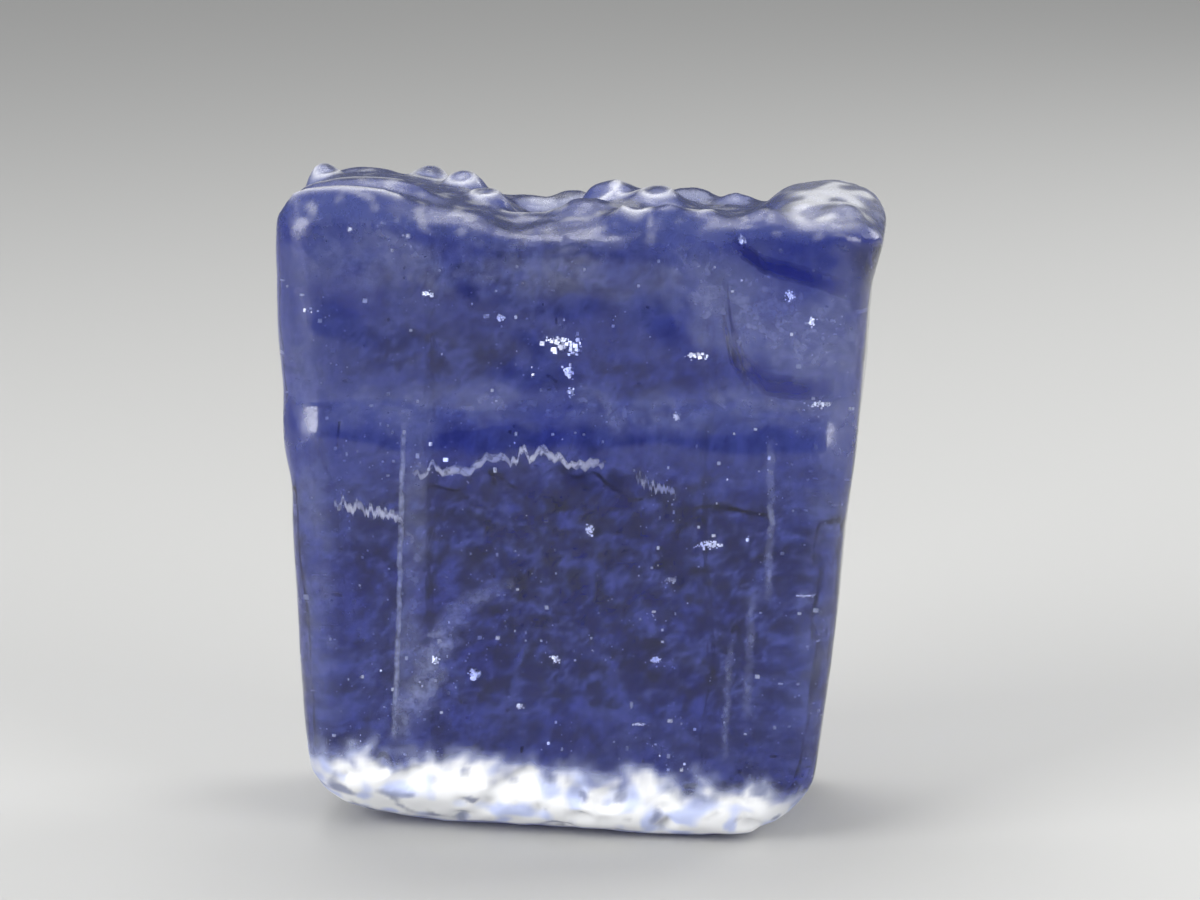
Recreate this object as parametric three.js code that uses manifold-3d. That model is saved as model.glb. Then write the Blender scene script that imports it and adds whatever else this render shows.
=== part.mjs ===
// A block of blue halite, the mineral form of rock salt, standing on its narrow end.
//
// It is one crystal. Halite splits into square blocks, so the block has four upright cleavage faces.
// Water has since softened it: the edges are round, the crown is a field of lumps and troughs,
// and the foot is worn to a pitted bevel around the small flat spot that it stands on.
//
// Millimetres, +Z up, +X to the right as seen from the front, and the broad front face looks
// along -Y. The origin is the middle of the bounding box, on the surface that the block stands on.
import * as THREE from "three";
import { mergeVertices } from "three/addons/utils/BufferGeometryUtils.js";
import Module from "manifold-3d";

const wasm = await Module();
wasm.setup();

// The block before it is worn, as half its thickness and its height
const THICK = 6.1;
const TALL = 27.6;
const CORNER = { side: 2.1, crown: 0.9, foot: 1.8 }; // rounding of the upright, upper and lower edges

// How far the left and right edges stand from the middle, at each height
const EDGE_HEIGHTS = [0, 2, 4, 9, 14.2, 15.7, 17, 19.7, 22, 24.5, 26.8, 29];
const LEFT_EDGE = [11.4, 11.6, 11.85, 12.1, 12.3, 12.35, 12.57, 12.7, 12.87, 12.87, 12.85, 12.6];
const RIGHT_EDGE = [10.15, 10.5, 10.75, 11.35, 11.8, 12.0, 12.15, 12.4, 12.55, 12.78, 13.3, 13.4];

// The front face: it steps back above a ledge, swells a little, and has low waves
const LEDGE = { height: 18.6, spread: 0.9, depth: 0.34 };
const SWELL = { rise: 0.22, half: 13, middle: 14 };
const WAVES = [
  { along: [0.9, 0.5], start: 0, height: 0.06 },
  { along: [-1.3, 0.55], start: 2, height: 0.045 },
  { along: [0.4, 1.7], start: 0, height: 0.03 },
];

// The crown: a fall towards the back, then swells and troughs, then fine waves
const CROWN_FALL = 0.06;
const SWELLS = [
  { x: -9.8, y: 0.5, reach: [4.4, 8.0], rise: 1.2 },
  { x: -4.6, y: 0.5, reach: [1.8, 3.4], rise: 0.4 },
  { x: -1.9, y: 0.8, reach: [1.9, 6.0], rise: -0.75 },
  { x: 2.0, y: 0.5, reach: [2.5, 3.6], rise: 0.4 },
  { x: 6.4, y: 1.0, reach: [2.2, 6.0], rise: -0.1 },
  { x: 11.0, y: 0.4, reach: [2.3, 4.6], rise: 0.4 },
  { x: 0.4, y: -6.0, reach: [5.5, 1.6], rise: -0.5 },
  { x: 7.5, y: -6.0, reach: [3.5, 2.0], rise: 0.3 },
];
const CROWN_WAVES = 1.8; // the face waves again, this much closer together
const CROWN_DEPTH = 4; // lumps reach no further down than this

// Lumps that stand out of the crown. sink is how far each middle lies under the crown's surface.
const LUMPS = [
  { x: -11.6, y: 1.8, radii: [0.75, 0.8, 0.7], sink: 0.05 },
  { x: -7.1, y: 3.7, radii: [0.95, 0.95, 0.9], sink: 0.1 },
  { x: -5.3, y: 1.4, radii: [1.05, 1.0, 0.9], sink: 0.15 },
  { x: -4.0, y: -1.2, radii: [1.15, 1.1, 0.9], sink: 0.2 },
  { x: -9.7, y: -4.6, radii: [2.5, 0.6, 0.55], sink: 0.1 },
  { x: -8.9, y: -3.0, radii: [2.7, 0.6, 0.5], sink: 0.1 },
  { x: -1.9, y: -2.6, radii: [1.6, 0.7, 0.55], sink: 0.1 },
  { x: 0.5, y: -2.4, radii: [1.5, 1.3, 1.0], sink: 0.25 },
  { x: 1.3, y: 0.8, radii: [1.4, 1.35, 1.05], sink: 0.2 },
  { x: 3.3, y: -0.4, radii: [1.4, 1.5, 1.0], sink: 0.25 },
  { x: 2.3, y: -4.3, radii: [1.0, 0.85, 0.75], sink: 0.15 },
  { x: 4.1, y: -4.5, radii: [1.05, 0.85, 0.85], sink: 0.2 },
  { x: 5.7, y: -4.2, radii: [0.65, 0.6, 0.5], sink: 0.05 },
  { x: 6.6, y: 2.8, radii: [0.9, 0.8, 0.55], sink: 0.05 },
  { x: 8.3, y: -4.4, radii: [0.95, 0.6, 0.55], sink: 0.1 },
  { x: 10.6, y: 0.4, radii: [2.5, 3.8, 0.95], sink: 0.15 },
  { x: 11.4, y: -3.4, radii: [0.8, 0.75, 0.6], sink: 0.1 },
  { x: 9.6, y: -3.2, radii: [0.7, 0.65, 0.5], sink: 0.1 },
  { x: -2.8, y: 4.0, radii: [1.2, 1.0, 0.7], sink: 0.1 },
  { x: -0.7, y: 4.2, radii: [1.1, 1.0, 0.7], sink: 0.05 },
  { x: 4.4, y: 4.0, radii: [1.4, 1.1, 0.7], sink: 0.1 },
  { x: -10.2, y: 4.2, radii: [1.5, 1.0, 0.6], sink: 0.15 },
];
const MELT = 0.45; // how far a lump or hollow blends into its surroundings

// The foot: how the underside lifts off the table away from the flat spot
const FOOT_LIFTS = {
  left: { from: 5.5, to: 12, rise: 0.7 },
  right: { from: 6.8, to: 11, rise: 1.2 },
  front: { from: 2.6, to: 6.1, rise: { left: 1.25, right: 0.15 }, turn: { left: 10, right: 6 } },
};

// Square pits, which dissolving salt leaves in the foot and the bevel in front of it
const PITS = { foot: 30, bevel: 34, seed: 11, size: [0.5, 1.15], shallow: 0.75, plain: 2.6 };
const PIT_SPAN = { left: -10.2, right: 8.8, back: 4.4, bevel: [0.3, 2.6], search: 0.05 };

// The back has split in thin layers. Each layer still stands inside its outline, which goes round
// it as x and z, and is gone down to its depth everywhere else. Upper edges are jagged breaks.
const LAYERS = {
  plate: {
    depth: 0.38,
    outline: [
      [-8.7, -1], [6.4, -1], [6.4, 8.2], [7.3, 8.2], [7.3, 11.4], [8.1, 11.4], [8.1, 13.1],
      [5.6, 13.5], [4.4, 13.1], [3.1, 13.9], [1.6, 13.5], [0.4, 14.7], [-0.7, 14.2],
      [-1.5, 15.1], [-2.6, 14.4], [-4.3, 14.8], [-5.6, 14.0], [-7.0, 14.4], [-8.1, 14.1],
    ],
  },
  left: {
    depth: 0.62,
    outline: [
      [-20, -1], [20, -1], [20, 40], [-8.1, 40], [-8.2, 12.5], [-9.4, 12.8], [-10.3, 12.3],
      [-11.1, 12.9], [-11.8, 12.5], [-20, 12.7],
    ],
  },
};

// Places where a flake has come off an upright edge
const CHIPS = [
  { at: [-13.9, -3.4, 15.2], radius: 1.75 },
  { at: [14.6, -4.6, 24.6], radius: 1.8 },
  { at: [-14.0, 4.6, 7.0], radius: 2.5 },
  { at: [13.3, 6.9, 10.4], radius: 2.5 },
];

const SPACE = { min: [-15, -8, -1], max: [15, 8, 32] }; // holds the whole block
const DETAIL = 0.5; // spacing of the points at which the worn shape is sampled
const TRIM = 0.01; // what is taken off the flat spot to make it level
const TOLERANCE = 0.045; // how far a facet may lie off the worn shape
const FAR = 20; // well outside the block

const { clamp, lerp, smoothstep } = THREE.MathUtils;

// A smooth curve through values given at the edge heights
function outline(values) {
  const curve = new THREE.CubicInterpolant(EDGE_HEIGHTS, values, 1);
  const last = EDGE_HEIGHTS.length - 1;
  return (height) => curve.evaluate(clamp(height, EDGE_HEIGHTS[0], EDGE_HEIGHTS[last]))[0];
}

const leftEdge = outline(LEFT_EDGE);
const rightEdge = outline(RIGHT_EDGE);

// The same draw of numbers from 0 to 1 every time
function numbersFrom(seed) {
  let state = seed;
  return () => {
    state = (state * 48271) % 2147483647;
    return state / 2147483647;
  };
}

// Low waves that water leaves on a flat face
function waves(a, b) {
  return WAVES.reduce((sum, w) => sum + w.height * Math.sin(w.along[0] * a + w.along[1] * b + w.start), 0);
}

// Distance from the middle plane to the front face
function frontFace(x, z) {
  const round = (1 - (x / SWELL.half) ** 2) * (1 - (z / SWELL.middle - 1) ** 2);
  const ledge = LEDGE.depth * smoothstep(z, LEDGE.height - LEDGE.spread, LEDGE.height + LEDGE.spread);
  return THICK + SWELL.rise * round + waves(x, z) - ledge;
}

// Height of the crown
function crown(x, y) {
  let height = TALL - CROWN_FALL * (y + THICK);
  for (const swell of SWELLS) {
    const away = Math.hypot((x - swell.x) / swell.reach[0], (y - swell.y) / swell.reach[1]);
    height += swell.rise * Math.exp(-(away ** 2));
  }
  return height + waves(CROWN_WAVES * x, CROWN_WAVES * y);
}

// Height of the underside above the table
function foot(x, y) {
  const { left, right, front } = FOOT_LIFTS;
  const bevel = lerp(front.rise.right, front.rise.left, smoothstep(-x, -front.turn.right, front.turn.left));
  return (
    left.rise * smoothstep(-x, left.from, left.to) +
    right.rise * smoothstep(x, right.from, right.to) +
    bevel * smoothstep(-y, front.from, front.to)
  );
}

// How deep a point lies inside the block, with round edges. Outside it is negative.
function blockDepth(x, y, z) {
  const upper = z > TALL / 2;
  const across = Math.min(x + leftEdge(z), rightEdge(z) - x);
  const inward = Math.min(frontFace(x, z) + y, THICK - y);
  const upright = upper ? crown(x, y) - z : z - foot(x, y);
  const edge = upper ? CORNER.crown : CORNER.foot;
  const short = Math.hypot(
    Math.max(1 - across / CORNER.side, 0),
    Math.max(1 - inward / CORNER.side, 0),
    Math.max(1 - upright / edge, 0),
  );
  return (1 - short) * edge;
}

// How deep a point lies inside an ellipsoid
function ballDepth(point, middle, radii) {
  const away = Math.hypot(...point.map((c, i) => (c - middle[i]) / radii[i]));
  return (1 - away) * Math.min(...radii);
}

// The larger of two depths, blended where they are close
function melted(a, b) {
  const near = Math.max(MELT - Math.abs(a - b), 0) / MELT;
  return Math.max(a, b) + (near * near * MELT) / 4;
}

const lumps = LUMPS.map(({ x, y, radii, sink }) => ({ middle: [x, y, crown(x, y) - sink], radii }));
const chips = CHIPS.map(({ at, radius }) => ({ middle: at, radii: [radius, radius, radius] }));

// How deep a point lies inside the worn block
function wornDepth(point) {
  let depth = blockDepth(...point);
  if (point[2] > TALL - CROWN_DEPTH) {
    for (const lump of lumps) depth = melted(depth, ballDepth(point, lump.middle, lump.radii));
  }
  for (const chip of chips) depth = -melted(-depth, ballDepth(point, chip.middle, chip.radii));
  return depth;
}

// A solid from a three.js geometry
function solidFrom(geometry) {
  geometry.deleteAttribute("normal");
  geometry.deleteAttribute("uv");
  const merged = mergeVertices(geometry);
  const mesh = new wasm.Mesh({
    numProp: 3,
    vertProperties: merged.getAttribute("position").array,
    triVerts: new Uint32Array(merged.index.array),
  });
  return new wasm.Manifold(mesh);
}

// A three.js geometry from a solid
function geometryFrom(solid) {
  const mesh = solid.getMesh();
  const geometry = new THREE.BufferGeometry();
  geometry.setAttribute("position", new THREE.BufferAttribute(mesh.vertProperties, 3));
  geometry.setIndex(new THREE.BufferAttribute(mesh.triVerts, 1));
  return geometry;
}

// A square pit, as wide as a drawn size and less deep along the face it is sunk into
function pit(between, at, depthAxis) {
  const size = at.map((_, axis) => between(...PITS.size) * (axis === depthAxis ? PITS.shallow : 1));
  const box = new THREE.BoxGeometry(...size);
  box.translate(...at);
  return solidFrom(box);
}

// Pits in the underside, which leave its middle plain, and in the bevel in front of it
function pits() {
  const draw = numbersFrom(PITS.seed);
  const between = (low, high) => lerp(low, high, draw());
  const made = [];
  for (let i = 0; i < PITS.foot; i++) {
    const x = between(PIT_SPAN.left, PIT_SPAN.right);
    const y = between(-THICK, PIT_SPAN.back);
    if (Math.hypot(x, y) > PITS.plain) made.push(pit(between, [x, y, foot(x, y)], 2));
  }
  for (let i = 0; i < PITS.bevel; i++) {
    const x = between(PIT_SPAN.left, PIT_SPAN.right);
    const z = foot(x, -THICK) + between(...PIT_SPAN.bevel);
    let y = -THICK;
    while (blockDepth(x, y, z) < 0) y += PIT_SPAN.search;
    made.push(pit(between, [x, y, z], 1));
  }
  return made;
}

// What has split off the back of one layer, outside its outline
function splitOff({ outline: points, depth }) {
  const kept = new THREE.Shape(points.map(([x, z]) => new THREE.Vector2(x, z)));
  const standing = new THREE.ExtrudeGeometry(kept, { depth: 2 * FAR, bevelEnabled: false });
  standing.rotateX(Math.PI / 2);
  standing.translate(0, FAR + THICK, 0);
  const whole = new THREE.BoxGeometry(4 * FAR, FAR, 4 * FAR);
  whole.translate(0, THICK - depth + FAR / 2, 0);
  return solidFrom(whole).subtract(solidFrom(standing));
}

const sampled = wasm.Manifold.levelSet(wornDepth, SPACE, DETAIL);
const worn = sampled.trimByPlane([0, 0, 1], TRIM).simplify(TOLERANCE);
const gone = wasm.Manifold.union([...Object.values(LAYERS).map(splitOff), ...pits()]);
const left = worn.subtract(gone).simplify(TOLERANCE / 2);
const [crystal] = left.decompose().sort((a, b) => b.volume() - a.volume()); // without loose crumbs

// The origin goes under the middle of the bounding box
const geometry = geometryFrom(crystal);
geometry.computeBoundingBox();
const middle = geometry.boundingBox.getCenter(new THREE.Vector3());
geometry.translate(-middle.x, -middle.y, -geometry.boundingBox.min.z);

const halite = new THREE.MeshStandardMaterial({
  name: "blue_halite",
  color: 0x5a64a8,
  roughness: 0.12,
  metalness: 0,
  transparent: true,
  opacity: 0.72,
});

const block = new THREE.Mesh(geometry, halite);
block.name = "halite_crystal";

const part = new THREE.Group();
part.add(block);

export default part;
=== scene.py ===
# %% [markdown]
# A block of blue halite.
#
# Halite is rock salt. It splits into square blocks, and now and then radiation in the ground has
# coloured it blue. This lesson dresses one block: a clear body with a frosted foot and crown, zones
# of deeper blue inside it, milky veils of old cracks, and many tiny brine-filled cavities.
# Each cell makes one of these, so that it can be changed without touching the others.

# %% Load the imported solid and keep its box
import math
import random

import bmesh
import bpy
from mathutils import Euler, Matrix, Vector, noise
from mathutils.bvhtree import BVHTree


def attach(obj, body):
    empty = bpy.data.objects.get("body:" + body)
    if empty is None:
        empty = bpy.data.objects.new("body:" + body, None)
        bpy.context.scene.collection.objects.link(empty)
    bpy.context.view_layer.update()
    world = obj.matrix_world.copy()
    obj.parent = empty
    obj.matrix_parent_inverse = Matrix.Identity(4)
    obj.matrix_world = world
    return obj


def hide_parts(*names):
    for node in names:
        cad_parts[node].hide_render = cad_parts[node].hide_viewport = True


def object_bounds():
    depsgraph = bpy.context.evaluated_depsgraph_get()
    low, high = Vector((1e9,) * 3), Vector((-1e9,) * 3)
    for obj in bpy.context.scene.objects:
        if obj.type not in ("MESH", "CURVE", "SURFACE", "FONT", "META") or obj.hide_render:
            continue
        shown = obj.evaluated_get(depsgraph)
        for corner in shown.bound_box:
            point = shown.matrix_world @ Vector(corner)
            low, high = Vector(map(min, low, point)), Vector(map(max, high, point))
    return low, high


MM = 0.001
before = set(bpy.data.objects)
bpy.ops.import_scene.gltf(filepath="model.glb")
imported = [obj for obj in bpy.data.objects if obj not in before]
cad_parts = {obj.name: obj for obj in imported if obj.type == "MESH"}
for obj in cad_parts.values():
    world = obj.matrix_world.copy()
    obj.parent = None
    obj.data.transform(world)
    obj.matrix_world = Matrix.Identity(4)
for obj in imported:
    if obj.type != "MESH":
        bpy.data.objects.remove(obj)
cad_low, cad_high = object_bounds()
cad_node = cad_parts["halite_crystal"]
print("solid, mm:", [round(side / MM, 2) for side in cad_high - cad_low])

# %% [markdown]
# The camera comes first, because many marks inside the crystal are placed by where they are seen.
# It stands a little to the right of the front and looks slightly down. A long lens from about
# 18 cm keeps the upright edges nearly parallel, as in a close-up.

# %% Camera
PHOTO = (1200, 900)
AZIMUTH = math.radians(5)
ELEVATION = math.radians(12)
DISTANCE = 180 * MM
SENSOR = 36.0
FIELD = 53.0 * MM  # width of the picture at the crystal
AIM_RIGHT = 0.6 * MM
AIM_UP = 1.9 * MM

middle = (cad_low + cad_high) / 2
back = Vector((
    math.sin(AZIMUTH) * math.cos(ELEVATION),
    -math.cos(AZIMUTH) * math.cos(ELEVATION),
    math.sin(ELEVATION),
))
turn = (-back).to_track_quat("-Z", "Y")
camera_right = turn @ Vector((1, 0, 0))
camera_up = turn @ Vector((0, 1, 0))
eye = middle + camera_right * AIM_RIGHT + camera_up * AIM_UP + back * DISTANCE

lens = bpy.data.cameras.new("camera")
lens.sensor_width = SENSOR
lens.lens = SENSOR * DISTANCE / FIELD
lens.clip_start = 0.01
lens.clip_end = 10
camera = bpy.data.objects.new("camera", lens)
camera.location = eye
camera.rotation_mode = "QUATERNION"
camera.rotation_quaternion = turn
bpy.context.scene.collection.objects.link(camera)
bpy.context.scene.camera = camera
print("lens, mm:", round(lens.lens, 1))

# %% [markdown]
# The body of the crystal is a copy of the solid. The solid is made of flat facets, and clear salt
# shows every facet twice, once on its skin and once through it. So the copy is given an even mesh
# of fine squares by the Remesh modifier, is smoothed, and then gets back the detail that water
# leaves on salt: low waves on the faces, ringed knobs on the crown and shallow pits at the foot.
# Sculpting by hand would give the same forms, but moving each vertex along its normal by a noise
# keeps the pattern the same at every run. Where the skin is frosted is stored on the same vertices,
# because a mask that is worked out once is quicker to render than noise in the material.

# %% Even skin from the solid
VOXEL = 0.19 * MM
WELD = 0.001 * MM


def finished(piece):
    """Turns a piece's modifiers into plain mesh."""
    graph = bpy.context.evaluated_depsgraph_get()
    mesh = bpy.data.meshes.new_from_object(piece.evaluated_get(graph))
    piece.modifiers.clear()
    piece.data = mesh


def new_piece(name, shape):
    """Makes an object from a bmesh, at the origin and unturned."""
    mesh = bpy.data.meshes.new(name)
    shape.to_mesh(mesh)
    shape.free()
    piece = bpy.data.objects.new(name, mesh)
    bpy.context.scene.collection.objects.link(piece)
    return piece


skin = bmesh.new()
skin.from_mesh(cad_node.data)
bmesh.ops.remove_doubles(skin, verts=skin.verts, dist=WELD)
crystal = new_piece("crystal_body", skin)
remesh = crystal.modifiers.new("even", "REMESH")
remesh.mode = "VOXEL"
remesh.voxel_size = VOXEL
finished(crystal)
print("even skin:", len(crystal.data.polygons), "faces")

# %% Waves, knobs and pits
SMOOTHING = 7  # rounds
WAVE = 0.03  # mm, as all lengths here
KNOB = 0.06
KNOB_SIZE = 1.15
PIT = 0.05
PIT_SIZE = 1.25
RING = 0.07
RIM = 0.17  # how wide a rim or a ridge is, to each side
CROWN_LEVEL = 26.4
CROWN_RISE = (CROWN_LEVEL - 0.8, CROWN_LEVEL + 0.2)  # heights between which the crown sets in
CROWN_SLOPE = (0.1, 0.6)  # how far up the skin has to face there
KNOBBLY = (-6.5, -1.5)  # left of this the crown is smoother
FOOT_LEVEL = 3.6  # how high the pitted foot reaches in the middle
FOOT_SLOPE = -0.08  # how that falls towards the right
FOOT_FALL = -0.19  # and how its frost falls towards the back
PIT_EDGE = (-0.5, 0.3)  # heights around that level between which the pits end
FROST_DIVIDE = 20.0  # below it all frost is the foot's, above it the crown's
LEDGE_ENDS = [(-12.3, -5.2, 18.4), (12.0, -5.4, 18.2)]
DULL_REACH = (0.6, 1.6)  # how far the dull patches reach
BACK_LAYERS = ((-10.4, 9.6), (3.0, 26.0))  # where the split layers of the back lie, across and up
BACK_DEPTH = 4.5
RINGS = [  # knobs with a dimple on top, as x, y and radius
    (-11.6, 1.6, 0.55), (-7.3, 3.4, 0.75), (-5.6, 1.2, 0.6), (-4.3, -1.2, 0.55),
    (0.4, 0.6, 1.0), (1.9, 0.4, 0.75), (3.1, -0.6, 0.65), (3.5, -3.0, 0.5), (2.5, -4.0, 0.6),
    (5.2, -3.6, 0.6),
]
STREAKS = [  # ridges, as where x starts and ends, and y
    (-12.1, -7.6, -4.5), (-12.0, -7.7, -2.6), (-3.3, -1.2, -2.3),
]


def eased(value, low, high):
    """0 below low, 1 above high, and a smooth rise between."""
    t = min(max((value - low) / (high - low), 0), 1)
    return t * t * (3 - 2 * t)


def blobs(point, size, shift=(0, 0, 0)):
    """Noise from about -1 to 1, with blobs about size mm across. A shift gives another pattern."""
    return noise.noise(point / size + Vector(shift))


def cells(point, size):
    """0 in the middle of a cell and 1 on its border, for cells about size mm across."""
    near = noise.voronoi(point / size)[0]
    return min(max(near[0] / max(near[1], 1e-6), 0), 1)


def crown_marks(point):
    """1 on the rims of the ringed knobs and along the ridges of the crown, and 0 between them."""
    mark = 0.0
    for x, y, radius in RINGS:
        away = math.hypot(point.x - x, point.y - y) - radius
        mark = max(mark, math.exp(-((away / RIM) ** 2)))
    for left, right, y in STREAKS:
        beyond = max(left - point.x, point.x - right, 0)
        mark = max(mark, math.exp(-((math.hypot(beyond, point.y - y) / RIM) ** 2)))
    return mark


def worn_shift(point, normal):
    """How far a point of the skin moves along its normal, all in mm."""
    wave = blobs(point, 3.1) + 0.5 * blobs(point, 1.2)
    shift = WAVE * (wave - 0.6)
    crown = eased(point.z, *CROWN_RISE) * eased(normal.z, *CROWN_SLOPE)
    if crown > 0:
        rough = 0.25 + 0.75 * eased(point.x, *KNOBBLY)
        shift -= crown * KNOB * rough * cells(point + Vector((3, 1, 0)), KNOB_SIZE) ** 2
        shift += crown * (RING * crown_marks(point) - RING / 2)
    level = FOOT_LEVEL + FOOT_SLOPE * point.x + 0.7 * blobs(point, 1.6)
    foot = 1 - eased(point.z, level + PIT_EDGE[0], level + PIT_EDGE[1])
    if foot > 0:
        uneven = max(blobs(point, 0.9) + 0.2, 0)
        shift -= foot * PIT * (uneven + 0.4 * (1 - cells(point, PIT_SIZE)) * uneven)
    return shift


def break_edge(point, normal):
    """1 where the back drops from one split layer to the next, and 0 elsewhere."""
    (left, right), (bottom, top) = BACK_LAYERS
    if point.y < BACK_DEPTH or not left < point.x < right or not bottom < point.z < top:
        return 0.0
    return eased(1 - normal.y, 0.03, 0.25)


def dullness(point):
    """How dull wear has made the clear skin, from 0 to 1: on the crown and at the ledge's ends."""
    dull = 0.6 * eased(point.z, 25.4, 27.0)
    for corner in LEDGE_ENDS:
        dull = max(dull, 1 - eased((point - Vector(corner)).length, *DULL_REACH))
    return dull


def foot_frost(point, normal):
    """How frosted the etched foot is, from 0 to 1. It has a few clear holes and clearer ends."""
    level = FOOT_LEVEL + FOOT_SLOPE * point.x + FOOT_FALL * (point.y - cad_low.y / MM)
    level += 0.8 * blobs(point, 1.4, (0, 0, 7)) + 0.45 * blobs(point, 0.5)
    share = (1 - eased(point.z - level, -1.1, 0.7)) ** 1.4
    if share == 0:
        return 0.0
    no_hole = eased(blobs(point, 0.8, (9, 0, 0)), -0.6, -0.2)
    no_end = eased(point.x, -12.2, -9.6) * (1 - eased(point.x, 7.6, 10.2))
    underside = eased(-normal.z, 0.8, 0.97)
    return share * (0.45 + 0.55 * no_hole) * (0.5 + 0.5 * no_end) * (1 - 0.6 * underside)


def crown_frost_shade_highlight(point, normal):
    """How frosted the crown is, and how white that frost is, both from 0 to 1. The frost over the
    whole top is dark, partly as painted shade, and the white on the rims and ridges is partly a
    painted highlight.
    """
    top = eased(point.z, 25.6, 27.4) * eased(normal.z, 0.05, 0.5)
    marks = crown_marks(point) * eased(point.z, *CROWN_RISE)
    cushion = top * eased(point.x, 8.0, 9.6) * eased(point.z, 26.8, 27.6)  # the lump at the right
    cushion *= 0.3 + 0.7 * eased(blobs(point, 1.1), -0.2, 0.3)
    patches = top * eased(blobs(point, 0.7, (0, 5, 0)), 0.15, 0.45)
    # The share over the whole top carries a dark frost that is partly painted shade. The white of the
    # marks is partly a painted highlight on the rims and ridges.
    share = max(top * 0.4, patches * 0.45, marks * 0.6, cushion * 0.6)
    return share, max(patches * 0.35, marks * 0.85, cushion * 0.8)


def foot_white(point, foot):
    """How white the frost of the foot is, from 0 to 1: most where it is dense, and in patches."""
    return eased(blobs(point, 0.9, (0, 3, 0)), -0.5, 0.0) * eased(foot, 0.25, 0.8)


skin = bmesh.new()
skin.from_mesh(crystal.data)
for _ in range(SMOOTHING):
    bmesh.ops.smooth_vert(
        skin, verts=skin.verts, factor=0.5, use_axis_x=True, use_axis_y=True, use_axis_z=True
    )
skin.normal_update()
shifts = [worn_shift(vert.co / MM, vert.normal) for vert in skin.verts]
for vert, shift in zip(skin.verts, shifts):
    vert.co += shift * MM * vert.normal
skin.normal_update()
worn_layer = skin.verts.layers.float.new("worn")
frost_layer = skin.verts.layers.float.new("frost")
white_and_highlight_layer = skin.verts.layers.float.new("frost_white_and_crown_highlight")
for vert in skin.verts:
    point = vert.co / MM
    foot = foot_frost(point, vert.normal)
    share, white = crown_frost_shade_highlight(point, vert.normal)
    vert[frost_layer] = max(foot, share, 0.1 * break_edge(point, vert.normal))
    # Above the divide the white is partly a painted highlight on the crown's rims and ridges.
    vert[white_and_highlight_layer] = foot_white(point, foot) if point.z < FROST_DIVIDE else white
    vert[worn_layer] = dullness(point)
for face in skin.faces:
    face.smooth = True
skin.to_mesh(crystal.data)
skin.free()
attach(crystal, "root")
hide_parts("halite_crystal")
print("deepest dent, mm:", round(-min(shifts), 3), "highest mark, mm:", round(max(shifts), 3))

# %% [markdown]
# What lies inside is seen through the front face, and light bends there. To put a mark where it
# shows in a close-up, a line is drawn from the camera through that point of the picture to the
# front face, is bent by the law of refraction, and is followed for the mark's depth.

# %% Places inside the crystal
IOR = 1.544
MARGIN = 0.35 * MM
FRONT = Vector((0, -1, 0))
LEVELLING = 0.7  # how far the front face counts as flat, so that its waves don't scatter the marks
surface = BVHTree.FromObject(crystal, bpy.context.evaluated_depsgraph_get())


def bent(direction, normal, ratio):
    """The direction of a line after it passes a surface into a denser material."""
    cosine = -direction.dot(normal)
    under = 1 - ratio * ratio * (1 - cosine * cosine)
    return (ratio * direction + (ratio * cosine - math.sqrt(under)) * normal).normalized()


def depth_inside(point):
    """How deep a point lies under the skin, in metres. Outside it is negative."""
    nearest, normal, _, distance = surface.find_nearest(point)
    return distance if (nearest - point).dot(normal) > 0 else -distance


def kept_inside(place):
    """The same place, or the nearest one a margin under the skin if it lies less deep."""
    if depth_inside(place) >= MARGIN:
        return place
    nearest, normal, _, _ = surface.find_nearest(place)
    return nearest - normal * MARGIN


def seen(across, down, depth):
    """The place, depth mm in, that shows at a point of the picture. None beside the crystal."""
    scale = FIELD / PHOTO[0]
    target = eye - back * DISTANCE
    target += camera_right * (across - PHOTO[0] / 2) * scale
    target += camera_up * (PHOTO[1] / 2 - down) * scale
    line = (target - eye).normalized()
    hit, normal, _, _ = surface.ray_cast(eye, line)
    if hit is None:
        return None
    inward = bent(line, normal.lerp(FRONT, LEVELLING).normalized(), 1 / IOR)
    return hit + inward * depth * MM


print("shown in the middle, 3 mm in:", [round(c / MM, 1) for c in seen(PHOTO[0] / 2, PHOTO[1] / 2, 3)])

# %% [markdown]
# Old cracks in salt heal, and leave sheets of trapped brine that look like milky veils. Each veil
# here is a grid that is bent along a row of points. Its edges fade by its own UV map, so no veil
# ends in a hard line. Real sheets are thinner than a hair, so a surface without thickness will do.
# Where the edge of a break catches the light it shows as a bright jagged line. That highlight is
# painted white on a strip made the same way.

# %% Veils
SAMPLES_ALONG = 64
SAMPLES_ACROSS = 6
JAGS = (17, 70)  # how many coarse and fine jags a strip has
DRIFT = 0.25  # mm by which its depth drifts
DRIFTS = 5
SWELLS = 11  # how often it gets wider and narrower


def start_sheets():
    """A bmesh for sheets, with a UV map that the grids fill in and a strength for each vertex."""
    shape = bmesh.new()
    shape.loops.layers.uv.new("UVMap")
    shape.verts.layers.float.new("strength")
    return shape


def along(points, t):
    """A point at t, from 0 to 1, along straight pieces between the points."""
    place = t * (len(points) - 1)
    index = min(int(place), len(points) - 2)
    return points[index].lerp(points[index + 1], place - index)


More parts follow.
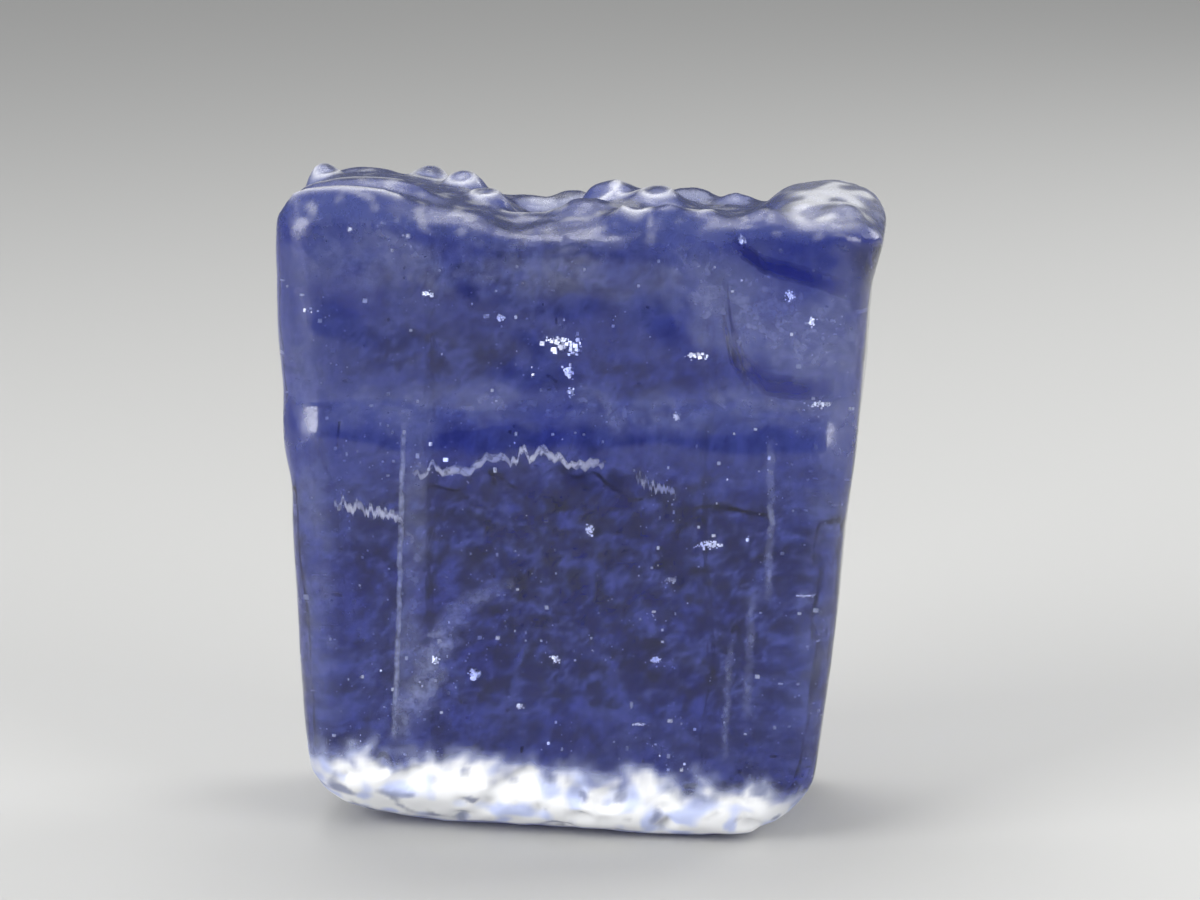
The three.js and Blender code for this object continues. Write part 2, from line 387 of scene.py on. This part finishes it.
def add_ribbon(shape, picture_points, depth, width, rough=0.0, lean=None, strength=1.0):
    """Adds a strip along points of the picture, width mm wide, at a depth in mm."""
    points = [Vector((across, down, 0)) for across, down in picture_points]
    lean = lean or camera_up
    strength_layer = shape.verts.layers.float["strength"]
    made = bmesh.ops.create_grid(
        shape, x_segments=SAMPLES_ALONG, y_segments=SAMPLES_ACROSS, size=1, calc_uvs=True
    )
    for vert in made["verts"]:
        t, side = (vert.co.x + 1) / 2, vert.co.y
        spot = along(points, t)
        jag = noise.noise(Vector((t * JAGS[0], depth, 0.5)))
        jag += 0.5 * noise.noise(Vector((t * JAGS[1], depth, 3)))
        deep = depth + DRIFT * noise.noise(Vector((t * DRIFTS, side, depth)))
        place = seen(spot.x, spot.y, deep) or middle
        half = width / 2 * (1 + rough * noise.noise(Vector((t * SWELLS, depth, 8))))
        vert.co = kept_inside(place + lean * (side * half + rough * jag) * MM)
        vert[strength_layer] = strength


VEILS = [  # points of the picture, depth and width in mm, roughness, which way it widens, strength
    ([(404, 425), (401, 520), (399, 620), (394, 740)], 0.7, 0.30, 0.05, "right", 2.2),
    ([(416, 430), (414, 540), (412, 650), (404, 735)], 0.9, 1.30, 0.2, "right", 0.9),
    ([(398, 745), (418, 700), (440, 645), (462, 608), (505, 578)], 0.9, 1.70, 0.4, "right", 1.6),
    ([(770, 440), (771, 520), (768, 600)], 0.8, 0.40, 0.1, "right", 1.2),
    ([(752, 590), (750, 660), (746, 720)], 0.9, 0.45, 0.1, "right", 1.1),
    ([(730, 640), (727, 700), (724, 762)], 0.9, 0.35, 0.1, "right", 1.1),
    (
        [(322, 408), (400, 412), (520, 404), (640, 412), (760, 406), (856, 410)],
        0.7, 2.4, 0.4, "up", 0.8,
    ),
    ([(300, 330), (310, 450), (316, 600), (326, 740)], 0.8, 1.9, 0.3, "right", 0.6),
    ([(846, 330), (836, 450), (822, 600), (806, 730)], 0.8, 2.2, 0.3, "right", 0.6),
    ([(660, 262), (720, 300), (800, 322), (856, 330)], 0.9, 5.6, 0.5, "up", 1.0),
    ([(286, 262), (400, 258), (520, 268), (680, 272)], 0.7, 3.0, 0.6, "up", 0.7),
]
HIGHLIGHT_BREAKS = [  # breaks whose white is a painted highlight, in the same way but without a strength
    (
        [(412, 474), (440, 470), (500, 462), (520, 455), (545, 451), (575, 468), (604, 460)],
        0.6, 0.36, 0.55, "up",
    ),
    ([(636, 478), (652, 486), (676, 492)], 0.6, 0.32, 0.4, "up"),
    ([(334, 504), (360, 508), (380, 512), (403, 518)], 0.6, 0.42, 0.4, "up"),
]
leans = {"right": camera_right, "up": camera_up}
veil_shape = start_sheets()
for points, depth, width, rough, lean, strength in VEILS:
    add_ribbon(veil_shape, points, depth, width, rough, leans[lean], strength)
veils = new_piece("healed_cracks", veil_shape)
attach(veils, "root")

# The white of these strips is a painted highlight along the edges of the breaks.
highlight_shape = start_sheets()
for points, depth, width, rough, lean in HIGHLIGHT_BREAKS:
    add_ribbon(highlight_shape, points, depth, width, rough, leans[lean])
highlight_breaks = new_piece("breaks_painted_highlight", highlight_shape)
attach(highlight_breaks, "root")
print("veils:", len(VEILS), "white breaks:", len(HIGHLIGHT_BREAKS))

# %% [markdown]
# The blue isn't even. It gathers in flat zones parallel to the cube faces, because the crystal grew
# face by face, and near the top right it draws two arcs. Upright sheets stand in the body for the
# zones. Each vertex stores how deep the blue is there, and faces without any blue are deleted, so
# light passes fewer of them. Sheets that face the front are joined by sheets that face the sides,
# so the zones are seen from every direction. Two more sheets are a lilac haze that lies under the
# narrow faces.

# %% Blue zones
CURTAIN_CELL = 0.2  # mm, as all lengths here
CURTAIN_HEIGHT = 14.2  # of its middle
HALF_WIDE = {"front": 11.6, "side": 5.0}
HALF_TALL = 12.4
WAVINESS = 0.5
WAVE_SIZE = 4
ZONE_SCALE = 1.25  # the higher, the smaller its cloudy patches
ZONE_LEAST = 0.25
LOWER_EXTRA = 0.3  # the blue is deeper in the lower half
LOWER_HALF = (13.5, 16.5)
HAZE_LEAST = 0.12
FAINTEST = 0.02  # faces with less blue than this are deleted
DEEPER = [  # where it is deeper in the picture: across, down, half width, half height, strength
    (540, 262, 110, 34, 0.9), (430, 344, 90, 26, 0.8), (300, 262, 30, 46, 0.6),
    (560, 510, 150, 46, 0.8), (620, 622, 130, 66, 1.0), (786, 664, 66, 60, 0.8),
    (345, 672, 56, 56, 0.6), (560, 706, 130, 36, 0.6), (800, 590, 50, 110, 0.6),
    (700, 560, 60, 50, 0.6), (372, 560, 40, 60, 0.4), (650, 372, 60, 30, 0.4),
]


def shown_at(place):
    """The point of the picture where a place shows. The bending of light is left out."""
    offset = place - eye
    scale = DISTANCE / (-offset.dot(back)) * PHOTO[0] / FIELD
    across = PHOTO[0] / 2 + offset.dot(camera_right) * scale
    return across, PHOTO[1] / 2 - offset.dot(camera_up) * scale


def zone_strength(place):
    """How deep the blue of a zone is at a place, from 0 to 1. It comes in cloudy patches."""
    point = place / MM
    patches = noise.fractal(Vector((point.x, point.y, point.z * 1.25)) * ZONE_SCALE, 0.55, 2.1, 4)
    across, down = shown_at(place)
    deeper = ZONE_LEAST + LOWER_EXTRA * (1 - eased(point.z, *LOWER_HALF))
    for middle_x, middle_y, half_wide, half_tall, strength in DEEPER:
        away = ((across - middle_x) / half_wide) ** 2 + ((down - middle_y) / half_tall) ** 2
        deeper += strength * math.exp(-away)
    return eased(patches, -0.25, 0.6) * min(deeper, 1)


def add_curtain(shape, place, facing, strength_of, lean=0.0):
    """Adds an upright, slightly wavy sheet. It stays under the skin and has no empty parts."""
    strength_layer = shape.verts.layers.float["strength"]
    half_wide = HALF_WIDE[facing]
    centre = Vector((0, place, CURTAIN_HEIGHT) if facing == "front" else (place, 0, CURTAIN_HEIGHT))
    made = bmesh.ops.create_grid(
        shape,
        x_segments=round(2 * half_wide / CURTAIN_CELL),
        y_segments=round(2 * HALF_TALL / CURTAIN_CELL),
        size=1,
        calc_uvs=True,
    )
    for vert in made["verts"]:
        across, up = vert.co.x * half_wide, vert.co.y * HALF_TALL
        wave = WAVINESS * noise.noise(Vector((across / WAVE_SIZE, up / WAVE_SIZE, place)))
        side = Vector((wave + lean * up, across, up))
        offset = Vector((across, wave, up)) if facing == "front" else side
        spot = (centre + offset) * MM
        vert.co = kept_inside(spot)
        vert[strength_layer] = strength_of(vert.co) * eased(depth_inside(spot) / MARGIN, 1, 3)
    empty = [
        face for face in shape.faces if max(vert[strength_layer] for vert in face.verts) < FAINTEST
    ]
    bmesh.ops.delete(shape, geom=empty, context="FACES")


def haze_strength(place):
    """How dense the haze beside a narrow face is, from 0 to 1."""
    point = place / MM
    patches = noise.fractal(Vector((point.x, point.y, point.z / 2)), 0.8, 2.1, 3)
    return HAZE_LEAST + (1 - HAZE_LEAST) * eased(patches, 0.0, 0.8)


FRONT_CURTAINS = [-5.0, -2.8, 3.0]
SIDE_CURTAINS = [-6.5, 5.5]
HAZE_CURTAINS = [(-11.1, -0.05), (10.6, 0.12)]  # place, and how it leans with the narrow face
ARC_ROUGHNESS = 0.04
ARCS = [  # points of the picture, depth and width. The last one thickens the second
    ([(728, 232), (742, 250), (766, 266), (806, 276), (850, 292)], 0.7, 0.85),
    ([(727, 292), (732, 330), (744, 362), (766, 384), (800, 389), (832, 386)], 0.7, 1.05),
    ([(722, 318), (730, 350), (750, 380)], 0.8, 1.3),
]
zone_shape = start_sheets()
for depth in FRONT_CURTAINS:
    add_curtain(zone_shape, depth, "front", zone_strength)
for place in SIDE_CURTAINS:
    add_curtain(zone_shape, place, "side", zone_strength)
zones = new_piece("blue_zones", zone_shape)
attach(zones, "root")

haze_shape = start_sheets()
for place, lean in HAZE_CURTAINS:
    add_curtain(haze_shape, place, "side", haze_strength, lean)
hazes = new_piece("side_haze", haze_shape)
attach(hazes, "root")

arc_shape = start_sheets()
for points, depth, width in ARCS:
    add_ribbon(arc_shape, points, depth, width, ARC_ROUGHNESS)
arcs = new_piece("blue_arcs", arc_shape)
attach(arcs, "root")
print("zones:", len(zones.data.polygons), "faces, arcs:", len(ARCS))

# %% [markdown]
# Halite traps brine in cavities that are themselves tiny cubes, square with the crystal. They
# catch the light as white specks. A cube from bmesh is the right shape as it is, so many of them
# are made a little longer or flatter and joined in one mesh. Most are turned nearly the crystal's
# way. The brightest stand in clusters and are tilted, as are some of the scattered ones, so that a
# wall mirrors the light at the front left.

# %% Brine cavities
BRIGHT = [  # across and down in the picture, depth in mm, and how far the cluster spreads in mm
    (566, 345, 0.8, (1.35, 0.5, 0.5)),
    (574, 352, 1.0, (0.5, 0.3, 0.35)),
    (556, 340, 1.1, (0.5, 0.3, 0.2)),
    (697, 356, 0.8, (0.75, 0.3, 0.25)),
    (568, 372, 1.2, (0.3, 0.3, 0.5)),
    (570, 392, 1.2, (0.28, 0.2, 0.35)),
    (475, 675, 0.9, (0.38, 0.3, 0.42)),
    (708, 545, 1.2, (0.8, 0.3, 0.28)),
    (590, 530, 1.4, (0.3, 0.2, 0.3)),
    (555, 658, 1.4, (0.36, 0.2, 0.26)),
    (435, 660, 1.4, (0.26, 0.2, 0.24)),
    (655, 660, 1.6, (0.3, 0.2, 0.24)),
    (428, 294, 1.2, (0.4, 0.2, 0.2)),
    (500, 318, 1.6, (0.3, 0.2, 0.26)),
    (676, 418, 1.5, (0.2, 0.2, 0.26)),
    (790, 296, 1.0, (0.36, 0.2, 0.3)),
    (812, 322, 1.2, (0.2, 0.2, 0.3)),
    (640, 724, 1.5, (0.5, 0.2, 0.14)),
    (520, 706, 1.4, (0.24, 0.2, 0.16)),
    (672, 580, 1.6, (0.4, 0.2, 0.2)),
    (806, 596, 1.6, (0.6, 0.2, 0.12)),
    (350, 230, 1.0, (0.16, 0.1, 0.16)),
    (742, 240, 0.9, (0.24, 0.2, 0.24)),
    (820, 404, 0.8, (0.9, 0.2, 0.2)),
]
CLUSTER = 46  # cavities that make one bright glint
TILT = 0.1  # radians, by chance
GLINT_TURN = (-0.19, 0, -0.22)  # radians, so that a wall mirrors the light from the front left
GLINTING = 0.15  # share of the scattered ones that are turned so too
GLINT_DEPTH = 0.65  # share of the listed depth
SCATTERED = 2400
NEAR_SKIN = 2.6 * MM  # scattered ones lie no deeper, where they can still be seen
SPREAD = 3.4  # standard deviations in a listed width of a cluster
GLINT_EDGES = (0.08, 0.32)  # edge of a cube, as a share of the cluster's least width
GLINT_SIDES = (0.8, 1.6)  # its sides, as shares of that edge
SPECK = 0.03  # mm, the smallest edge of a scattered one
SPECK_RANGE = 0.11
SPECK_RARITY = 6  # the higher, the fewer large ones
SPECK_SIDES = (0.7, 1.6)
FILLED = 0.35  # chance that a place gets a speck, before their patches raise or lower it
draw = random.Random(7)
cavity_shape = bmesh.new()


def add_cavity(place, size, turn_by=(0, 0, 0)):
    """Adds one cube-shaped cavity, with its size in mm along the three axes, nearly turned so."""
    sides = Matrix.Diagonal((*[side * MM for side in size], 1))
    turned = Euler([angle + draw.uniform(-TILT, TILT) for angle in turn_by]).to_matrix().to_4x4()
    bmesh.ops.create_cube(cavity_shape, size=1, matrix=Matrix.Translation(place) @ turned @ sides)


for across, down, depth, size in BRIGHT:
    heart = seen(across, down, depth * GLINT_DEPTH)
    for _ in range(CLUSTER):
        away = Vector([draw.gauss(0, side / SPREAD) for side in size])
        edge = min(size) * draw.uniform(*GLINT_EDGES)
        sides = [edge * draw.uniform(*GLINT_SIDES) for _ in range(3)]
        add_cavity(heart + away * MM, sides, GLINT_TURN)
placed = 0
while placed < SCATTERED:
    spot = Vector([draw.uniform(low, high) for low, high in zip(cad_low, cad_high)])
    share = blobs(spot / MM, 3.5) + 0.5 * blobs(spot / MM, 1.3)
    if not MARGIN < depth_inside(spot) < NEAR_SKIN or draw.random() > FILLED + share:
        continue
    edge = SPECK + SPECK_RANGE * draw.random() ** SPECK_RARITY
    turn_by = GLINT_TURN if draw.random() < GLINTING else (0, 0, 0)
    add_cavity(spot, [edge * draw.uniform(*SPECK_SIDES) for _ in range(3)], turn_by)
    placed += 1
cavities = new_piece("brine_cavities", cavity_shape)
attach(cavities, "root")
print("cavities:", len(BRIGHT) * CLUSTER + placed)

# %% [markdown]
# Shader maths is easier to read as sums than as a web of nodes. A Wire holds one output socket of a
# node tree. Adding or multiplying wires adds the Math nodes, and every other node comes from
# one method, make.

# %% A small class for shader maths


class Wire:
    """One output socket. Sums of wires add Math nodes."""

    def __init__(self, socket):
        self.socket = socket

    @staticmethod
    def make(tree, kind, settings=None, inputs=None, output=0):
        """Adds a node, sets its settings, then its sockets, and returns one output."""
        node = tree.nodes.new(kind)
        for name, value in (settings or {}).items():
            setattr(node, name, value)
        for name, value in (inputs or {}).items():
            if isinstance(value, Wire):
                tree.links.new(value.socket, node.inputs[name])
            else:
                node.inputs[name].default_value = value
        return Wire(node.outputs[output])

    def math(self, operation, first, second):
        return Wire.make(
            self.socket.id_data, "ShaderNodeMath", {"operation": operation}, {0: first, 1: second}
        )

    def __add__(self, other):
        return self.math("ADD", self, other)

    def __radd__(self, other):
        return self.math("ADD", other, self)

    def __rsub__(self, other):
        return self.math("SUBTRACT", other, self)

    def __mul__(self, other):
        return self.math("MULTIPLY", self, other)

    def __rmul__(self, other):
        return self.math("MULTIPLY", other, self)

    def power(self, exponent):
        return self.math("POWER", self, exponent)

    def rise(self, low, high):
        """0 below low, 1 above high, and a smooth rise between."""
        return Wire.make(
            self.socket.id_data,
            "ShaderNodeMapRange",
            {"interpolation_type": "SMOOTHSTEP"},
            {"Value": self, "From Min": low, "From Max": high},
        )


def blend_colours(tree, share, first, second):
    """first where share is 0 and second where it is 1."""
    return Wire.make(
        tree, "ShaderNodeMix", {"data_type": "RGBA"}, {"Factor": share, 6: first, 7: second}, output=2
    )


def start_material(name):
    """A new material with an empty tree, its tree, and the place in mm."""
    material = bpy.data.materials.new(name)
    material.use_nodes = True
    tree = material.node_tree
    tree.nodes.clear()
    place = Wire.make(tree, "ShaderNodeTexCoord", output="Object")
    place = Wire.make(
        tree, "ShaderNodeVectorMath", {"operation": "SCALE"}, {0: place, "Scale": 1 / MM}
    )
    return material, tree, place


def stored(tree, name):
    """The value of that name that is stored on the vertices."""
    return Wire.make(tree, "ShaderNodeAttribute", {"attribute_name": name}, output=2)


def cloud(tree, place, size, detail=3.0, rough=0.55):
    """Soft noise from 0 to 1 with blobs about size mm across."""
    return Wire.make(
        tree,
        "ShaderNodeTexNoise",
        {},
        {"Vector": place, "Scale": 1 / size, "Detail": detail, "Roughness": rough},
    )


def finish_material(tree, surface_wire, volume_wire=None):
    """Joins the surface, and a volume if there is one, to the output."""
    output = tree.nodes.new("ShaderNodeOutputMaterial")
    tree.links.new(surface_wire.socket, output.inputs["Surface"])
    if volume_wire:
        tree.links.new(volume_wire.socket, output.inputs["Volume"])


print("wire class ready")

# %% [markdown]
# The body is clear salt. Its blue comes from absorption, so thick parts are deeper than thin ones,
# as in the real thing. Where water has etched it, at the foot and on the crown, the skin is
# frosted, which is a second shader mixed in by the mask on the vertices. On the crown that frost is
# painted dark over the top as shade, and white on the rims and ridges as highlights. White paint
# would be simpler, but frost still has to let some light through.

# %% Clear and frosted salt
ABSORB_COLOUR = (0.045, 0.15, 0.665, 1)
ABSORB_DENSITY = 238.0
PALE = (0.92, 0.93, 1.0, 1)
BLOTCH = (0.42, 0.47, 0.86, 1)
WHITE_FROST = (0.97, 0.98, 1.0, 1)
LILAC_FROST = (0.60, 0.67, 0.97, 1)  # where the foot's frost is thin
CROWN_SHADED_FROST = (0.05, 0.07, 0.22, 1)  # and where the crown's is, dark enough to be partly painted shade over the top
BLOTCH_SIZE = 3.2  # mm
BLOTCH_EDGE = (0.50, 0.62)
BLOTCH_SHARE = 0.9
POLISHED = 0.05  # roughness of the clearest skin, and what dull spots and wear add to it
DULL_SIZE = 0.5  # mm
DULL_EDGE = (0.4, 0.7)
DULL_SPOTS = 0.16
WEAR = 0.25
FROST_ROUGHNESS = 0.5
FROST_CLEARNESS = 0.06
FROST_BORDER = 2  # mm from the foot's frost tint to the crown's

salt, tree, place = start_material("blue_salt")
height = Wire.make(tree, "ShaderNodeSeparateXYZ", {}, {0: place}, output="Z")
blotches = cloud(tree, place, BLOTCH_SIZE, detail=2.0).rise(*BLOTCH_EDGE)
spots = cloud(tree, place, DULL_SIZE, detail=2.0).rise(*DULL_EDGE)
tint = blend_colours(tree, blotches * BLOTCH_SHARE, PALE, BLOTCH)
upper = height.rise(FROST_DIVIDE, FROST_DIVIDE + FROST_BORDER)
# The crown's frost colour is partly painted shade, and its white is partly a painted highlight.
thin_frost_and_crown_shade = blend_colours(tree, upper, LILAC_FROST, CROWN_SHADED_FROST)
frost_tint_and_crown_light = blend_colours(tree, stored(tree, "frost_white_and_crown_highlight"), thin_frost_and_crown_shade, WHITE_FROST)
clear = Wire.make(
    tree,
    "ShaderNodeBsdfPrincipled",
    {},
    {
        "Base Color": tint,
        "Roughness": POLISHED + DULL_SPOTS * spots + WEAR * stored(tree, "worn"),
        "IOR": IOR,
        "Transmission Weight": 1.0,
    },
)
frosted = Wire.make(
    tree,
    "ShaderNodeBsdfPrincipled",
    {},
    {
        "Base Color": frost_tint_and_crown_light,
        "Roughness": FROST_ROUGHNESS,
        "IOR": IOR,
        "Transmission Weight": FROST_CLEARNESS,
    },
)
body = Wire.make(tree, "ShaderNodeMixShader", {}, {0: stored(tree, "frost"), 1: clear, 2: frosted})
absorb = Wire.make(
    tree, "ShaderNodeVolumeAbsorption", {}, {"Color": ABSORB_COLOUR, "Density": ABSORB_DENSITY}
)
finish_material(tree, body, absorb)
crystal.data.materials.clear()
crystal.data.materials.append(salt)
print("salt nodes:", len(tree.nodes))

# %% [markdown]
# A veil is whitish and mostly clear. Its alpha is a fine noise, faded towards its edges by the UV
# map, so it reads as a haze of tiny bubbles rather than as a strip of cloth. The zones and the
# lilac haze take theirs from their vertices, with the same fade.

# %% Veil, zone and cavity finishes


def edge_fade(tree, powers):
    """1 along the middle of a sheet and 0 at its edges, from its own UV map."""
    uv = Wire.make(tree, "ShaderNodeTexCoord", output="UV")
    fades = []
    for side, power in zip("XY", powers):
        value = Wire.make(tree, "ShaderNodeSeparateXYZ", {}, {0: uv}, output=side)
        fades.append((4 * value * (1 - value)).power(power))
    return fades[0] * fades[1]


def thin_material(name, colour, roughness, alpha_of, powers):
    """A thin sheet that shows only where its alpha says."""
    material, tree, place = start_material(name)
    sheet = Wire.make(
        tree,
        "ShaderNodeBsdfPrincipled",
        {},
        {
            "Base Color": colour,
            "Roughness": roughness,
            "Specular IOR Level": 0.0,
            "Alpha": alpha_of(tree, place) * edge_fade(tree, powers),
        },
    )
    finish_material(tree, sheet)
    return material


def veil_alpha(tree, place):
    """A haze of fine bubbles."""
    haze = cloud(tree, place, 0.45, detail=2.0, rough=0.65).rise(0.3, 0.75)
    return stored(tree, "strength") * (0.14 + haze * 0.3)


def side_alpha(tree, place):
    """A thin haze, as dense as its vertices say."""
    return 0.4 * stored(tree, "strength")


def highlight_alpha(tree, place):
    """A painted highlight: white with small clear gaps."""
    return 0.4 + 0.6 * cloud(tree, place, 0.3, detail=3.0).rise(0.36, 0.5)


def zone_alpha(tree, place):
    """Blue, as deep as its vertices say."""
    return 0.9 * stored(tree, "strength")


def arc_alpha(tree, place):
    """Nearly full blue, a little cloudy."""
    return 0.75 + 0.25 * cloud(tree, place, 1.2, detail=1.0).rise(0.3, 0.65)


SHEETS = [  # piece, finish, colour, roughness, alpha, and the powers of its fade along and across
    (veils, "veil_haze", (0.80, 0.84, 1.0, 1), 0.9, veil_alpha, (0.35, 0.9)),
    (hazes, "side_lilac", (0.42, 0.46, 0.90, 1), 0.9, side_alpha, (0.3, 0.3)),
    # the breaks' white is a painted highlight
    (highlight_breaks, "break_painted_highlight", (0.95, 0.96, 1.0, 1), 0.6, highlight_alpha, (0.2, 0.5)),
    (zones, "zone_blue", (0.006, 0.013, 0.18, 1), 1.0, zone_alpha, (0.3, 0.3)),
    (arcs, "arc_blue", (0.014, 0.03, 0.30, 1), 1.0, arc_alpha, (0.35, 0.6)),
]
for piece, name, colour, roughness, alpha_of, powers in SHEETS:
    piece.data.materials.append(thin_material(name, colour, roughness, alpha_of, powers))

CAVITY_COLOUR = (0.93, 0.95, 1.0, 1)
CAVITY_MIRROR = 0.4  # how far its walls count as metal, so that some of them glint
cavity, tree, place = start_material("cavity_white")
glint = Wire.make(
    tree,
    "ShaderNodeBsdfPrincipled",
    {},
    {
        "Base Color": CAVITY_COLOUR,
        "Roughness": 0.15 + 0.3 * cloud(tree, place, 0.8),
        "Metallic": CAVITY_MIRROR,
    },
)
finish_material(tree, glint)
cavities.data.materials.append(cavity)
print("finishes:", [m.name for m in bpy.data.materials if m.users])

# %% [markdown]
# The studio is plain: a pale floor, a wide patch of sky overhead, a soft light above and behind,
# one from the front left that brings out the veils and the frosted foot, and weaker ones from the
# front right and the back right. The sky is a sun lamp with a very broad disc. No light stands
# right in front, where the broad face would mirror it.

# %% Floor and lights
FLOOR_HALF = 3.0  # metres
FLOOR_COLOUR = (0.50, 0.50, 0.49, 1)
FLOOR_ROUGHNESS = 0.8
LIGHTS = [  # name, place and side in mm, watts
    ("overhead", (-20, 60, 220), 110, 0.16),
    ("front_left", (-200, -170, 110), 170, 0.84),
    ("front_right", (210, -150, 100), 150, 0.48),
    ("back_right", (230, 150, 120), 160, 0.45),
]
SKY_STRENGTH = 1.1
SKY_DISC = math.radians(70)
SKY_TURN = (math.radians(-20), math.radians(-8), 0)
ROOM_COLOUR = (0.55, 0.56, 0.58, 1)
ROOM_STRENGTH = 0.3

floor_shape = bmesh.new()
bmesh.ops.create_grid(floor_shape, x_segments=1, y_segments=1, size=FLOOR_HALF)
floor = new_piece("floor", floor_shape)
floor_paint, tree, place = start_material("floor_paint")
paint = Wire.make(
    tree,
    "ShaderNodeBsdfPrincipled",
    {},
    {"Base Color": FLOOR_COLOUR, "Roughness": FLOOR_ROUGHNESS},
)
finish_material(tree, paint)
floor.data.materials.append(floor_paint)


def soft_light(name, place, size, watts):
    """A square light, with its place and side in mm, that faces the middle of the crystal."""
    lamp = bpy.data.lights.new(name, "AREA")
    lamp.shape = "SQUARE"
    lamp.size = size * MM
    lamp.energy = watts
    light = bpy.data.objects.new(name, lamp)
    light.location = Vector(place) * MM
    light.rotation_mode = "QUATERNION"
    light.rotation_quaternion = (middle - light.location).to_track_quat("-Z", "Y")
    bpy.context.scene.collection.objects.link(light)


for name, place, size, watts in LIGHTS:
    soft_light(name, place, size, watts)

sky_lamp = bpy.data.lights.new("sky", "SUN")
sky_lamp.energy = SKY_STRENGTH
sky_lamp.angle = SKY_DISC
sky = bpy.data.objects.new("sky", sky_lamp)
sky.rotation_euler = SKY_TURN
bpy.context.scene.collection.objects.link(sky)

world = bpy.data.worlds.new("studio")
world.use_nodes = True
room = world.node_tree.nodes["Background"].inputs
room["Color"].default_value = ROOM_COLOUR
room["Strength"].default_value = ROOM_STRENGTH
bpy.context.scene.world = world
print("lights:", len(bpy.data.lights))

# %% [markdown]
# A line of light goes through the body, several sheets and the body again, so it needs more
# bounces than an ordinary scene.

# %% Light paths
scene = bpy.context.scene
scene.cycles.max_bounces = 7
scene.cycles.transmission_bounces = 6
scene.cycles.glossy_bounces = 3
scene.cycles.diffuse_bounces = 2
scene.cycles.transparent_max_bounces = 16
scene.view_settings.view_transform = "Standard"
